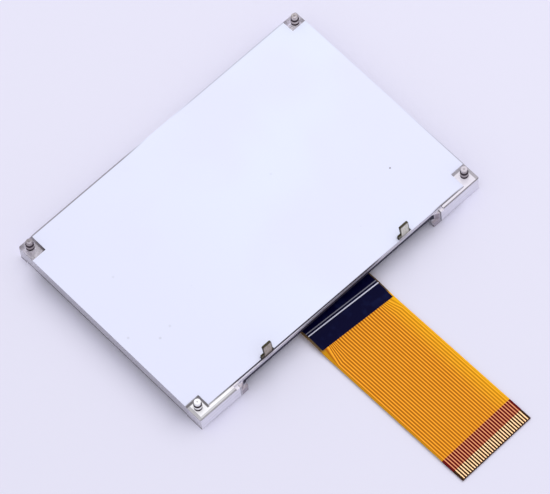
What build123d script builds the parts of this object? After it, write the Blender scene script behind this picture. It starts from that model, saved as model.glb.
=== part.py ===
from build123d import *
import math
import os

os.makedirs("parts", exist_ok=True)

# Frame: X runs along the long side, +Z points to the rear, and Z = 0 is the front face of the display.
# The origin is the centre of the body's outline. The flexible tail leaves toward -Y. Millimetres.

# Body
body_length = 62.6
body_width = 44.2
corner_radius = 0.3

# Layers of the display, from the front face to the rear
polarizer_thickness = 0.2
glass_thickness = 0.55
cell_gap = 0.05
diffuser_thickness = 0.1
guide_thickness = 1.95
reflector_thickness = 0.1

polarizer_front_z = 0.0
front_glass_z = polarizer_front_z + polarizer_thickness
cell_z = front_glass_z + glass_thickness
rear_glass_z = cell_z + cell_gap
rear_polarizer_z = rear_glass_z + glass_thickness
diffuser_z = rear_polarizer_z + polarizer_thickness
guide_front_z = diffuser_z + diffuser_thickness
guide_rear_z = guide_front_z + guide_thickness
reflector_rear_z = guide_rear_z + reflector_thickness

# Clear moulded guide: rims, corner guards and end blocks round the display
rim_wall = 0.8
rim_front_z = 0.35
guard_front_z = 0.1
guard_length_x = 4.0
guard_length_far = 1.7
guard_length_tail = 3.6
parting_step = 0.06
bar_setback = 0.7
bar_wall = 0.35
undercut_depth = 0.2
undercut_height = 0.65
undercut_end_gap = 0.5
block_length = 9.0
block_slope = 1.1
block_step_length = 1.0
block_step_depth = 0.4
foot_length = 1.8
foot_height = 1.45

# Locating pins at the four corners of the rear, each set in from the body's sides
pin_inset_x = 1.4
pin_inset_far = 1.42
pin_inset_tail = 2.08
pin_base_radius = 0.72
pin_tip_radius = 0.6
pin_base_height = 1.25
pin_tip_height = 0.95
pin_tip_round = 0.15

# Reflector film
notch_length_x = 2.9
notch_right_y = 2.45
notch_left_y = 3.55
notch_tail_y = 3.7
film_edge_setback = 1.0
film_edge_skew_deg = 0.62
lead_notch_gap = 0.15

# Light source: board, diodes and two flat leads
board_thickness = 0.4
board_clearance = 0.1
pocket_end_wall = 0.1
pocket_floor = 0.2
diode_count = 4
diode_length = 3.0
diode_depth = 0.8
diode_height = 1.2
diode_window_wall = 0.15
diode_window_depth = 0.3
lead_inset = 5.65
lead_centre_x = 0.3
lead_width = 1.85
lead_thickness = 0.4
lead_height = 2.95
lead_corner = 0.25
shoulder_width = 0.65
shoulder_height = 0.7
lead_root = 1.2
solder_length = 1.2
solder_depth = 0.25

# Display cell
glass_end_clearance = 0.15
glass_far_clearance = 0.2
ledge_setback = 0.8
ledge_width = 4.5
polarizer_margin = 1.3
seal_width = 0.9
seal_setback = 0.45
tape_width = 1.0
tape_clearance = 0.1
plug_length = 3.6
plug_depth = 0.35
plug_height = 0.8

# Driver chip on the ledge
chip_length = 10.3
chip_width = 1.2
chip_thickness = 0.3
bond_thickness = 0.02
chip_from_front_glass = 1.2
sealant_thickness = 0.4
sealant_end_gap = 1.5
sealant_tail_gap = 0.5

# Flexible tail
tail_reach = 37.45
tail_turn_deg = 1.05
tail_pivot_x = -0.46
base_film = 0.05
copper_thickness = 0.035
coverlay_thickness = 0.05
bond_length = 1.6
contact_count = 30
contact_pitch = 0.5
trace_width = 0.3
contact_length = 2.15
contact_end_gap = 0.12
stiffener_length = 4.75
stiffener_thickness = 0.2
table_gap = 0.02
tail_rise = 0.1
tail_start_y = 0.15
tail_crease_y = 2.4
tail_landing_y = 6.25
tail_bend_radius = 4.0
root_pitch = 0.3
root_bunch_count = 5
fan_start_y = 5.25
fan_length = 3.4

# Dark strip over the root of the tail
strip_width = 14.9
strip_reach = 5.54
strip_slant_deg = 4.55
strip_thickness = 0.05
strip_shift_x = 0.07

# Places worked out from the sizes above
half_length = body_length / 2
half_width = body_width / 2
bar_y = -half_width + bar_setback
glass_edge_y = bar_y + ledge_setback
front_glass_edge_y = glass_edge_y + ledge_width
glass_half_length = half_length - rim_wall - glass_end_clearance
glass_far_y = half_width - rim_wall - glass_far_clearance
board_rear_y = bar_y + bar_wall + lead_thickness
board_front_y = board_rear_y + board_thickness
block_end = half_length - block_length
bar_half_length = block_end - block_slope
pocket_half_length = bar_half_length - pocket_end_wall
board_length = 2 * (pocket_half_length - board_clearance)
lead_spacing = board_length - 2 * lead_inset
diode_pitch = board_length / diode_count
pocket_front_y = board_front_y + diode_depth + board_clearance
board_front_z = guide_front_z + pocket_floor
board_rear_z = guide_rear_z - board_clearance
tail_width = (contact_count + 1) * contact_pitch


def block(x_range, y_range, z_range):
    """A straight block between the given limits."""
    size = (x_range[1] - x_range[0], y_range[1] - y_range[0], z_range[1] - z_range[0])
    centre = [(low + high) / 2 for low, high in (x_range, y_range, z_range)]
    return Pos(*centre) * Box(*size)


def sheet(outline, front_z, rear_z):
    """A flat sketch raised into a solid between two heights."""
    return extrude(Pos(0, 0, front_z) * outline, rear_z - front_z)


def centred_rectangle(half_x, y_range):
    """A rectangle centred on X between two Y limits."""
    return Pos(0, (y_range[0] + y_range[1]) / 2) * Rectangle(2 * half_x, y_range[1] - y_range[0])


def guide_outline():
    """The plan of the guide: a plate with two end blocks that slope down to the recessed bar."""
    with BuildLine() as edge:
        Polyline(
            (-half_length, half_width), (half_length, half_width), (half_length, -half_width),
            (block_end, -half_width), (bar_half_length, bar_y), (-bar_half_length, bar_y),
            (-block_end, -half_width), (-half_length, -half_width),
            close=True,
        )
    outline = make_face(edge.line)
    return fillet(outline.vertices(), corner_radius)


def display_seat():
    """What is cut from the front of the guide so that the display sits between rims and guards."""
    seat_half = half_length - rim_wall
    seat_y = (bar_y, half_width - rim_wall)
    seat = block((-seat_half, seat_half), seat_y, (guard_front_z, guide_front_z))
    open_half = half_length - guard_length_x
    seat += block((-open_half, open_half), (seat_y[1], half_width), (guard_front_z, guide_front_z))
    open_y = (-half_width + guard_length_tail, half_width - guard_length_far)
    for side in (-1, 1):
        rim = sorted((side * seat_half, side * half_length))
        step = sorted((side * (half_length - parting_step), side * half_length))
        seat += block(rim, open_y, (guard_front_z, rim_front_z))
        seat += block(step, open_y, (guard_front_z, guide_front_z))
    return seat


def bar_undercut():
    """The step under the bar, which leaves its lower edge standing out over the ledge."""
    half = bar_half_length - undercut_end_gap
    return block((-half, half), (-half_width, bar_y + undercut_depth), (guard_front_z, guide_front_z + undercut_height))


def block_steps():
    """The low step at the inner end of each end block."""
    steps = []
    for side in (-1, 1):
        x_range = sorted((side * bar_half_length, side * (block_end + block_step_length)))
        steps.append(block(x_range, (-half_width, bar_y), (guide_rear_z - block_step_depth, guide_rear_z)))
    return steps


def block_feet():
    """A low foot that carries each end block on toward the tail."""
    foot = centred_rectangle(foot_length / 2, (-half_width, bar_y))
    foot = fillet(foot.vertices().sort_by(Axis.Y)[:2], corner_radius)
    feet = []
    for side in (-1, 1):
        plan = Pos(side * (block_end - foot_length / 2 + corner_radius), 0) * foot
        feet.append(sheet(plan, guard_front_z, guard_front_z + foot_height))
    return feet


def locating_pin():
    """A stepped pin turned about Z, with a rounded tip."""
    total = pin_base_height + pin_tip_height
    with BuildLine() as edge:
        Polyline(
            (0, 0), (pin_base_radius, 0), (pin_base_radius, pin_base_height),
            (pin_tip_radius, pin_base_height), (pin_tip_radius, total), (0, total), close=True,
        )
    profile = make_face(edge.line)
    tip = profile.vertices().sort_by(Axis.Y)[-2:].sort_by(Axis.X)[-1]
    profile = fillet(tip, pin_tip_round)
    return revolve(Plane.XZ * profile, Axis.Z)


def pin_places():
    """The centres of the four pins on the rear face."""
    pin_x = half_length - pin_inset_x
    pin_rows = (half_width - pin_inset_far, -half_width + pin_inset_tail)
    return [(x, y) for x in (-pin_x, pin_x) for y in pin_rows]


def light_pocket():
    """The slot behind the bar that holds the board, its diodes and the leads."""
    return block(
        (-pocket_half_length, pocket_half_length), (bar_y + bar_wall, pocket_front_y),
        (board_front_z, guide_rear_z),
    )


def light_guide():
    """The clear moulded guide, one piece with its rims, guards, stepped blocks, feet and pins."""
    guide = sheet(guide_outline(), guard_front_z, guide_rear_z)
    guide -= display_seat()
    guide -= bar_undercut()
    guide -= light_pocket()
    for step in block_steps():
        guide -= step
    for foot in block_feet():
        guide += foot
    pin = locating_pin()
    for x, y in pin_places():
        guide += Pos(x, y, guide_rear_z) * pin
    return guide


def lead_places():
    """The middle of each lead's blade along X."""
    return [lead_centre_x + side * lead_spacing / 2 for side in (-1, 1)]


def reflector_film():
    """The white film over the rear, with a notch at each pin and at each lead."""
    skew = math.tan(math.radians(film_edge_skew_deg)) * half_length
    edge_y = -half_width + film_edge_setback
    outline = make_face(Polyline(
        (-half_length, half_width), (half_length, half_width),
        (half_length, edge_y - skew), (-half_length, edge_y + skew), close=True,
    ))
    for side, depth in ((1, notch_right_y), (-1, notch_left_y)):
        outline -= Pos(side * half_length, half_width) * Rectangle(2 * notch_length_x, 2 * depth)
        outline -= Pos(side * half_length, -half_width) * Rectangle(2 * notch_length_x, 2 * notch_tail_y)
    for x in lead_places():
        low_x = x - lead_width / 2 - shoulder_width - lead_notch_gap
        high_x = x + lead_width / 2 + lead_notch_gap
        top_y = board_rear_y + lead_notch_gap
        notch = Rectangle(high_x - low_x, top_y + half_width)
        outline -= Pos((low_x + high_x) / 2, (top_y - half_width) / 2) * notch
    return sheet(outline, guide_rear_z, reflector_rear_z)


def light_board():
    """The narrow circuit board that stands in the pocket and carries the diodes."""
    return block(
        (-board_length / 2, board_length / 2), (board_rear_y, board_front_y),
        (board_front_z, board_rear_z),
    )


def side_diode(x):
    """A side-firing diode with a shallow window toward the guide."""
    middle_z = (board_front_z + board_rear_z) / 2
    body = block(
        (x - diode_length / 2, x + diode_length / 2), (board_front_y, board_front_y + diode_depth),
        (middle_z - diode_height / 2, middle_z + diode_height / 2),
    )
    face_y = board_front_y + diode_depth
    half_window = diode_length / 2 - diode_window_wall
    half_tall = diode_height / 2 - diode_window_wall
    mouth = Plane((x, face_y, middle_z), x_dir=(1, 0, 0), z_dir=(0, 1, 0))
    deep = Plane((x, face_y - diode_window_depth, middle_z), x_dir=(1, 0, 0), z_dir=(0, 1, 0))
    shrink = diode_window_depth / 2
    window = loft([
        mouth * Rectangle(2 * half_window, 2 * half_tall),
        deep * Rectangle(2 * (half_window - shrink), 2 * (half_tall - shrink)),
    ])
    return body - window


def flat_lead(x):
    """A stamped lead: a root soldered to the board, a shoulder to one side and a tall blade."""
    low, high = x - lead_width / 2, x + lead_width / 2
    foot = low - shoulder_width
    root_z = guide_rear_z - lead_root
    shoulder_z = reflector_rear_z + shoulder_height
    top_z = reflector_rear_z + lead_height
    profile = make_face(Polyline(
        (foot, root_z), (high, root_z), (high, top_z), (low, top_z), (low, shoulder_z),
        (foot, shoulder_z), close=True,
    ))
    profile = fillet(profile.vertices().sort_by(Axis.Y)[-2:], lead_corner)
    upright = Plane((0, board_rear_y, 0), x_dir=(1, 0, 0), z_dir=(0, -1, 0))
    return extrude(upright * profile, lead_thickness)


def lead_solder(x):
    """The solder bead between a lead's lower edge and the board."""
    root_z = guide_rear_z - lead_root
    section = make_face(Polyline(
        (board_rear_y, root_z), (board_rear_y - solder_depth, root_z),
        (board_rear_y, root_z - solder_depth), close=True,
    ))
    across = Plane((x - solder_length / 2, 0, 0), x_dir=(0, 1, 0), z_dir=(1, 0, 0))
    return extrude(across * section, solder_length)


def front_glass():
    """The shorter sheet of glass, which the viewer sees through."""
    return sheet(within_glass(0), front_glass_z, cell_z)


def rear_glass():
    """The longer sheet of glass, whose ledge carries the driver chip and the tail."""
    plan = centred_rectangle(glass_half_length, (glass_edge_y, glass_far_y))
    return sheet(plan, rear_glass_z, rear_polarizer_z)


def within_glass(margin):
    """The plan of the front glass, drawn in by a margin on all sides."""
    return centred_rectangle(
        glass_half_length - margin, (front_glass_edge_y + margin, glass_far_y - margin)
    )


def cell_seal():
    """The ring of sealant that holds the two sheets of glass apart."""
    ring = within_glass(seal_setback) - within_glass(seal_setback + seal_width)
    return sheet(ring, cell_z, rear_glass_z)


def liquid_crystal():
    """The liquid crystal, which fills the space inside the seal."""
    return sheet(within_glass(seal_setback + seal_width), cell_z, rear_glass_z)


def polarizer_plan():
    """Both polarizers stop short of the glass edges by the same margin."""
    return within_glass(polarizer_margin)


def cell_tape():
    """The double-sided tape that holds the display to the guide, round the polarizer and diffuser."""
    window = offset(polarizer_plan(), tape_clearance, kind=Kind.INTERSECTION)
    outer = offset(window, tape_width, kind=Kind.INTERSECTION)
    return sheet(outer - window, rear_polarizer_z, guide_front_z)


def fill_plug():
    """The drop of resin over the filling gap in the far edge of the cell."""
    middle_z = cell_z + cell_gap / 2
    plan = Plane((0, glass_far_y, middle_z - plug_height / 2)) * (
        Ellipse(plug_length / 2, plug_depth) - Pos(0, -plug_depth) * Rectangle(plug_length, 2 * plug_depth)
    )
    return extrude(plan, plug_height)


chip_y = front_glass_edge_y - chip_from_front_glass - chip_width / 2
chip_bond_z = rear_glass_z - bond_thickness


def chip_bond():
    """The conductive film between the chip and the ledge."""
    plan = Pos(0, chip_y) * Rectangle(chip_length, chip_width)
    return sheet(plan, chip_bond_z, rear_glass_z)


def driver_chip():
    """The bare driver chip, face down on the ledge."""
    plan = Pos(0, chip_y) * Rectangle(chip_length, chip_width)
    return sheet(plan, chip_bond_z - chip_thickness, chip_bond_z)


def ledge_sealant():
    """The soft sealant on the ledge, round the chip and up to the front glass and the tail."""
    tail_side = glass_edge_y + bond_length + sealant_tail_gap
    plan = centred_rectangle(
        glass_half_length - sealant_end_gap, (tail_side, front_glass_edge_y)
    )
    coat = sheet(plan, rear_glass_z - sealant_thickness, rear_glass_z)
    return coat - chip_bond() - driver_chip()


# The tail's own route, seen from the side: Y outward from the ledge's edge and Z of its underside
tail_underside_z = rear_glass_z - bond_thickness - copper_thickness - base_film
tail_rest_z = table_gap + stiffener_thickness
tail_route = [
    (bond_length, tail_underside_z),
    (-tail_start_y, tail_underside_z),
    (-tail_crease_y, tail_underside_z + tail_rise),
    (-tail_landing_y, tail_rest_z),
    (-tail_reach, tail_rest_z),
]
tail_total = base_film + copper_thickness + coverlay_thickness
tail_place = Pos(tail_pivot_x, glass_edge_y, 0) * Rot(0, 0, tail_turn_deg)


def unit(start, end):
    """The direction from one point to the next."""
    length = math.dist(start, end)
    return ((end[0] - start[0]) / length, (end[1] - start[1]) / length)


def route_offset(height):
    """The tail's route raised by a height, with its bends kept concentric."""
    directions = [unit(a, b) for a, b in zip(tail_route, tail_route[1:])]
    normals = [(d[1], -d[0]) for d in directions]
    points = []
    radii = []
    for index, (y, z) in enumerate(tail_route):
        before = normals[max(index - 1, 0)]
        after = normals[min(index, len(normals) - 1)]
        share = 1 + before[0] * after[0] + before[1] * after[1]
        points.append((
            y + height * (before[0] + after[0]) / share,
            z + height * (before[1] + after[1]) / share,
        ))
        if 0 < index < len(tail_route) - 1:
            turn = directions[index - 1][0] * directions[index][1]
            turn -= directions[index - 1][1] * directions[index][0]
            radii.append(tail_bend_radius + math.copysign(height, turn))
    return FilletPolyline(*points, radius=radii)


def tail_layer(low, high, half_x=tail_width / 2):
    """A layer of the tail between two heights above its underside."""
    lower = route_offset(low)
    upper = route_offset(high)
    ends = [Line(lower @ 0, upper @ 0), Line(lower @ 1, upper @ 1)]
    section = make_face([*lower.edges(), *upper.edges(), *ends])
    side_on = Plane((-half_x, 0, 0), x_dir=(0, 1, 0), z_dir=(1, 0, 0))
    return extrude(side_on * section, 2 * half_x)


def tail_cutter(plan):
    """A plan in the tail's own frame, raised to cut all its layers."""
    return sheet(plan, 0, reflector_rear_z)


def trace_x(index):
    """Where a trace runs along the tail, and where it starts at the root."""
    middle = (contact_count - 1) / 2
    step = index - middle
    straight = middle - root_bunch_count
    along = step * contact_pitch
    bunched = max(abs(step) - straight, 0)
    root = along - math.copysign(bunched * (contact_pitch - root_pitch), step)
    return along, root


def trace_plan(index):
    """The plan of one trace, from its bond on the ledge to its contact at the end."""
    along, root = trace_x(index)
    half = trace_width / 2
    fan_end = fan_start_y + fan_length
    last = tail_reach - contact_end_gap
    left = [
        (root - half, bond_length), (root - half, -fan_start_y), (along - half, -fan_end), (along - half, -last),
    ]
    right = [(x + trace_width, y) for x, y in reversed(left)]
    points = [*left, *right]
    if along == root:
        points = [left[0], left[-1], right[0], right[-1]]
    return make_face(Polyline(*points, close=True))


def tail_conductors():
    """All copper traces, each one piece with its contact, bent with the tail."""
    layer = tail_layer(base_film, base_film + copper_thickness)
    return [layer & tail_cutter(trace_plan(index)) for index in range(contact_count)]


def tail_base_film():
    """The base film of the tail, on its front side."""
    return tail_layer(0, base_film)


def tail_coverlay(conductors):
    """The cover film, with its glue filled in round the traces, short of the bond and the contacts."""
    plan = centred_rectangle(tail_width / 2, (-tail_reach + contact_length, -tail_start_y))
    cover = tail_layer(base_film, tail_total) & tail_cutter(plan)
    return cover - conductors


def tail_bond():
    """The conductive film between the tail's traces and the ledge."""
    plan = centred_rectangle(tail_width / 2, (0, bond_length))
    return sheet(plan, rear_glass_z - bond_thickness, rear_glass_z)


def tail_stiffener():
    """The stiffening plate under the contacts."""
    plan = centred_rectangle(tail_width / 2, (-tail_reach, -tail_reach + stiffener_length))
    return sheet(plan, table_gap, tail_rest_z)


def tail_root_strip():
    """The dark strip over the root of the tail, with its end cut at a slant."""
    half = strip_width / 2
    drop = half * math.tan(math.radians(strip_slant_deg))
    outline = make_face(Polyline(
        (-half, -tail_start_y), (half, -tail_start_y),
        (half, -strip_reach - drop), (-half, -strip_reach + drop), close=True,
    ))
    return tail_layer(tail_total, tail_total + strip_thickness) & tail_cutter(Pos(strip_shift_x, 0) * outline)


def save(name, shape):
    """Write one piece, or a group of like pieces, under its own name."""
    shapes = shape if isinstance(shape, (list, tuple)) else [shape]
    solids = [solid for item in shapes for solid in item.solids()]
    piece = solids[0] if len(solids) == 1 else Compound(children=solids)
    piece.label = name
    export_step(piece, f"parts/{name}.step")


save("light_guide", light_guide())
save("reflector_film", reflector_film())
save("light_board", light_board())
for number in range(diode_count):
    diode_x = (number - (diode_count - 1) / 2) * diode_pitch
    save(f"side_diode_{number + 1}", side_diode(diode_x))
for name, x in zip(("cathode", "anode"), lead_places()):
    save(f"{name}_lead", flat_lead(x))
    save(f"{name}_solder", lead_solder(x))

save("diffuser_film", sheet(polarizer_plan(), diffuser_z, guide_front_z))
save("cell_tape", cell_tape())
save("rear_polarizer", sheet(polarizer_plan(), rear_polarizer_z, diffuser_z))
save("rear_glass", rear_glass())
save("cell_seal", cell_seal())
save("liquid_crystal", liquid_crystal())
save("front_glass", front_glass())
save("front_polarizer", sheet(polarizer_plan(), polarizer_front_z, front_glass_z))
save("fill_plug", fill_plug())
save("chip_bond", chip_bond())
save("driver_chip", driver_chip())
save("ledge_sealant", ledge_sealant())

conductors = tail_conductors()
save("tail_conductors", [tail_place * trace for trace in conductors])
save("tail_base_film", tail_place * tail_base_film())
save("tail_coverlay", tail_place * tail_coverlay(conductors))
save("tail_bond", tail_place * tail_bond())
save("tail_root_strip", tail_place * tail_root_strip())
save("tail_stiffener", tail_place * tail_stiffener())
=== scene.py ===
"""The looks of a chip-on-glass display module that lies on its face, with its rear and its flat tail in view.

Sizes are in millimetres until a mesh is made. The frame is the CAD frame: X along the long side, +Z to the
rear of the module, and the flexible tail leaves toward -Y.
"""

import logging
import math
from abc import ABC, abstractmethod
from dataclasses import dataclass
from enum import Enum

import bmesh
import bpy
import numpy as np
from mathutils import Matrix, Vector


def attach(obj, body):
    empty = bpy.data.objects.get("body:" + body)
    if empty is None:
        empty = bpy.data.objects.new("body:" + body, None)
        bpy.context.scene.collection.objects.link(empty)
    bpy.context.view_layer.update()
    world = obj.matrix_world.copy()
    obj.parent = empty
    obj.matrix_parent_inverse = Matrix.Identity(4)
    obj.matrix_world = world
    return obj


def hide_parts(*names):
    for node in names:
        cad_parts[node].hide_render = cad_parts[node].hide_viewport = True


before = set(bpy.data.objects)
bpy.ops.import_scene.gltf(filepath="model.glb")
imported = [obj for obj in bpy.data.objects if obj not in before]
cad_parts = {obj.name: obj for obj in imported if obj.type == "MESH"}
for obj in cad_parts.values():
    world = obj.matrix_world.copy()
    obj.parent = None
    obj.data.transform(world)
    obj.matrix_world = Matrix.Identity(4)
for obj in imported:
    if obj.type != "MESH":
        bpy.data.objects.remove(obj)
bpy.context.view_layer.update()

MM = 0.001
BODY = "root"
WELD_DISTANCE = 1e-7
FLAT_ANGLE = math.radians(0.5)
SHARP_ANGLE = math.radians(40)
COPY_SHARP_ANGLE = math.radians(35)
CORNER_LIMIT = 1.8
log = logging.getLogger("display_module")

Colour = tuple[float, float, float]
Triple = tuple[float, float, float]
Spot = tuple[float, float]


# Node recipes


class Value:
    """A number on a socket, which adds Math nodes when it is used in an expression."""

    def __init__(self, recipe: "Recipe", socket: bpy.types.NodeSocket) -> None:
        """Wrap a socket of one recipe.

        Args:
            recipe: The recipe whose tree holds the socket.
            socket: The output socket that carries the number.
        """
        self.recipe = recipe
        self.socket = socket

    def __add__(self, other: "Value | float") -> "Value":
        """Self plus other."""
        return self.recipe.math("ADD", self, other)

    def __radd__(self, other: float) -> "Value":
        """Other plus self."""
        return self.recipe.math("ADD", other, self)

    def __sub__(self, other: "Value | float") -> "Value":
        """Self minus other."""
        return self.recipe.math("SUBTRACT", self, other)

    def __rsub__(self, other: float) -> "Value":
        """Other minus self."""
        return self.recipe.math("SUBTRACT", other, self)

    def __mul__(self, other: "Value | float") -> "Value":
        """Self times other."""
        return self.recipe.math("MULTIPLY", self, other)

    def __rmul__(self, other: float) -> "Value":
        """Other times self."""
        return self.recipe.math("MULTIPLY", other, self)

    def __truediv__(self, other: "Value | float") -> "Value":
        """Self over other."""
        return self.recipe.math("DIVIDE", self, other)

    def __rtruediv__(self, other: float) -> "Value":
        """Other over self."""
        return self.recipe.math("DIVIDE", other, self)

    def __abs__(self) -> "Value":
        """The size of the number without its sign."""
        return self.recipe.math("ABSOLUTE", self)

    def __mod__(self, other: float) -> "Value":
        """The remainder, never negative, after division by other."""
        return self.recipe.math("FLOORED_MODULO", self, other)


class Recipe:
    """The node tree of one material, or of the world."""

    def __init__(self, name: str, world: bool = False) -> None:
        """Make an empty tree.

        Args:
            name: The name of the material or the world.
            world: True for a world's tree.
        """
        self.owner = (bpy.data.worlds if world else bpy.data.materials).new(name)
        self.owner.use_nodes = True
        self.tree = self.owner.node_tree
        self.tree.nodes.clear()
        self.output = self.node("ShaderNodeOutputWorld" if world else "ShaderNodeOutputMaterial")

    def node(self, kind: str, settings: dict | None = None, inputs: dict | None = None) -> bpy.types.Node:
        """Add one node.

        Args:
            kind: The node's type.
            settings: What is set on the node first. The key "stops" gives a ramp's (position, colour) pairs.
            inputs: Values, sockets or Value objects for its sockets, by name or number.

        Returns:
            The new node.
        """
        made = self.tree.nodes.new(kind)
        for key, setting in (settings or {}).items():
            if key == "stops":
                ramp = made.color_ramp
                while len(ramp.elements) < len(setting):
                    ramp.elements.new(1.0)
                for element, (position, colour) in zip(ramp.elements, setting):
                    element.position = position
                    element.color = (*colour, 1.0)
            else:
                setattr(made, key, setting)
        for key, value in (inputs or {}).items():
            self.feed(made.inputs[key], value)
        return made

    def feed(self, socket: bpy.types.NodeSocket, value: object) -> None:
        """Link a socket, or set its constant.

        Args:
            socket: The input socket.
            value: A Value, a socket, a number, a colour or a vector.
        """
        if isinstance(value, Value):
            value = value.socket
        if isinstance(value, bpy.types.NodeSocket):
            self.tree.links.new(value, socket)
        elif isinstance(value, tuple) and len(value) == 3 and socket.type == "RGBA":
            socket.default_value = (*value, 1.0)
        else:
            socket.default_value = value

    def math(self, operation: str, *terms: "Value | float") -> Value:
        """Add a Math node.

        Args:
            operation: The Math node's operation.
            terms: Its inputs in order.

        Returns:
            The result.
        """
        made = self.node("ShaderNodeMath", {"operation": operation}, dict(enumerate(terms)))
        return Value(self, made.outputs[0])

    def highest(self, *terms: "Value | bpy.types.NodeSocket") -> Value:
        """The highest of several numbers.

        Args:
            terms: The numbers.

        Returns:
            The highest one.
        """
        top = terms[0]
        for term in terms[1:]:
            top = self.math("MAXIMUM", top, term)
        return top

    def place(self) -> tuple[Value, Value, Value]:
        """The point's X, Y and Z in millimetres, in the frame of the module.

        Returns:
            X, Y and Z.
        """
        spot = self.node("ShaderNodeTexCoord").outputs["Object"]
        scaled = self.node("ShaderNodeVectorMath", {"operation": "SCALE"}, {0: spot, "Scale": 1 / MM})
        parts = self.node("ShaderNodeSeparateXYZ", inputs={0: scaled.outputs[0]})
        return tuple(Value(self, parts.outputs[axis]) for axis in "XYZ")

    def facing(self) -> tuple[Value, Value, Value]:
        """The surface's own normal as X, Y and Z.

        Returns:
            X, Y and Z.
        """
        normal = self.node("ShaderNodeNewGeometry").outputs["True Normal"]
        parts = self.node("ShaderNodeSeparateXYZ", inputs={0: normal})
        return tuple(Value(self, parts.outputs[axis]) for axis in "XYZ")

    def lanes(self) -> tuple[Value, Value]:
        """The piece's own UV map: the lane across the tail, and the distance along it in millimetres.

        Returns:
            The lane and the distance.
        """
        spot = self.node("ShaderNodeUVMap", {"uv_map": "lanes"}).outputs["UV"]
        parts = self.node("ShaderNodeSeparateXYZ", inputs={0: spot})
        return Value(self, parts.outputs["X"]), Value(self, parts.outputs["Y"])

    def noise(self, per_mm: float, detail: float = 3.0, stretch: Triple = (1.0, 1.0, 1.0)) -> Value:
        """Fractal noise on the Object coordinates.

        Args:
            per_mm: Features per millimetre.
            detail: Octaves.
            stretch: How much finer the noise is along X, Y and Z.

        Returns:
            A value from 0 to 1, mostly near a half.
        """
        spot = self.node("ShaderNodeTexCoord").outputs["Object"]
        factors = tuple(part * per_mm / MM for part in stretch)
        scaled = self.node("ShaderNodeVectorMath", {"operation": "MULTIPLY"}, {0: spot, 1: factors})
        made = self.node(
            "ShaderNodeTexNoise", inputs={"Vector": scaled.outputs[0], "Scale": 1.0, "Detail": detail}
        )
        return Value(self, made.outputs[0])

    def rise(self, value: Value, start: float, end: float) -> Value:
        """A smooth step from 0 at start to 1 at end, or down where end is less than start.

        Args:
            value: What is tested.
            start: Where the step is 0.
            end: Where the step is 1.

        Returns:
            The step.
        """
        low, high = min(start, end), max(start, end)
        made = self.node(
            "ShaderNodeMapRange", {"interpolation_type": "SMOOTHSTEP"},
            {"Value": value, "From Min": low, "From Max": high},
        )
        step = Value(self, made.outputs["Result"])
        return step if start < end else 1.0 - step

    def band(self, value: Value, low: float, high: float, soft: float) -> Value:
        """1 between two limits and 0 outside, with soft edges.

        Args:
            value: What is tested.
            low: The lower limit.
            high: The upper limit.
            soft: The width of each edge.

        Returns:
            The mask.
        """
        above = self.rise(value, low - soft / 2, low + soft / 2)
        below = self.rise(value, high + soft / 2, high - soft / 2)
        return above * below

    def spot(self, centre: Spot, radius: float, soft: float) -> Value:
        """1 inside a round spot in the XY plane and 0 outside.

        Args:
            centre: The spot's X and Y in millimetres.
            radius: Its radius.
            soft: The width of its edge.

        Returns:
            The mask.
        """
        x, y, _ = self.place()
        away = self.math("SQRT", (x - centre[0]) * (x - centre[0]) + (y - centre[1]) * (y - centre[1]))
        return self.rise(away, radius + soft / 2, radius - soft / 2)

    def mix(self, factor: Value, low: object, high: object) -> bpy.types.NodeSocket:
        """A colour between two others.

        Args:
            factor: 0 for low and 1 for high.
            low: A colour or a colour socket.
            high: A colour or a colour socket.

        Returns:
            The mixed colour's socket.
        """
        settings = {"data_type": "RGBA", "clamp_factor": True}
        made = self.node("ShaderNodeMix", settings, {0: factor, 6: low, 7: high})
        return made.outputs[2]

    def between(self, factor: Value, low: float, high: float) -> Value:
        """A number between two others.

        Args:
            factor: 0 for low and 1 for high.
            low: The number at 0.
            high: The number at 1.

        Returns:
            The number.
        """
        return factor * (high - low) + low

    def bump(self, height: Value, depth: float) -> bpy.types.NodeSocket:
        """A bumped normal.

        Args:
            height: The height from 0 to 1.
            depth: How deep 1 is, in millimetres.

        Returns:
            The normal's socket.
        """
        made = self.node("ShaderNodeBump", inputs={"Height": height, "Distance": depth * MM, "Strength": 1.0})
        return made.outputs["Normal"]

    def surface(self, inputs: dict) -> bpy.types.Material:
        """Finish the material with one Principled shader.

        Args:
            inputs: The shader's inputs by name.

        Returns:
            The material.
        """
        shader = self.node("ShaderNodeBsdfPrincipled", inputs=inputs)
        return self.finish(shader)

    def finish(self, shader: bpy.types.Node) -> bpy.types.Material | bpy.types.World:
        """Link the last shader to the output.

        Args:
            shader: The shader.

        Returns:
            The material or the world.
        """
        self.feed(self.output.inputs["Surface"], shader.outputs[0])
        return self.owner


# Finishes


class Finish(ABC):
    """A finish that can be painted as a material."""

    @abstractmethod
    def paint(self, name: str) -> bpy.types.Material:
        """Build the material.

        Args:
            name: The material's name.

        Returns:
            The material.
        """


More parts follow.
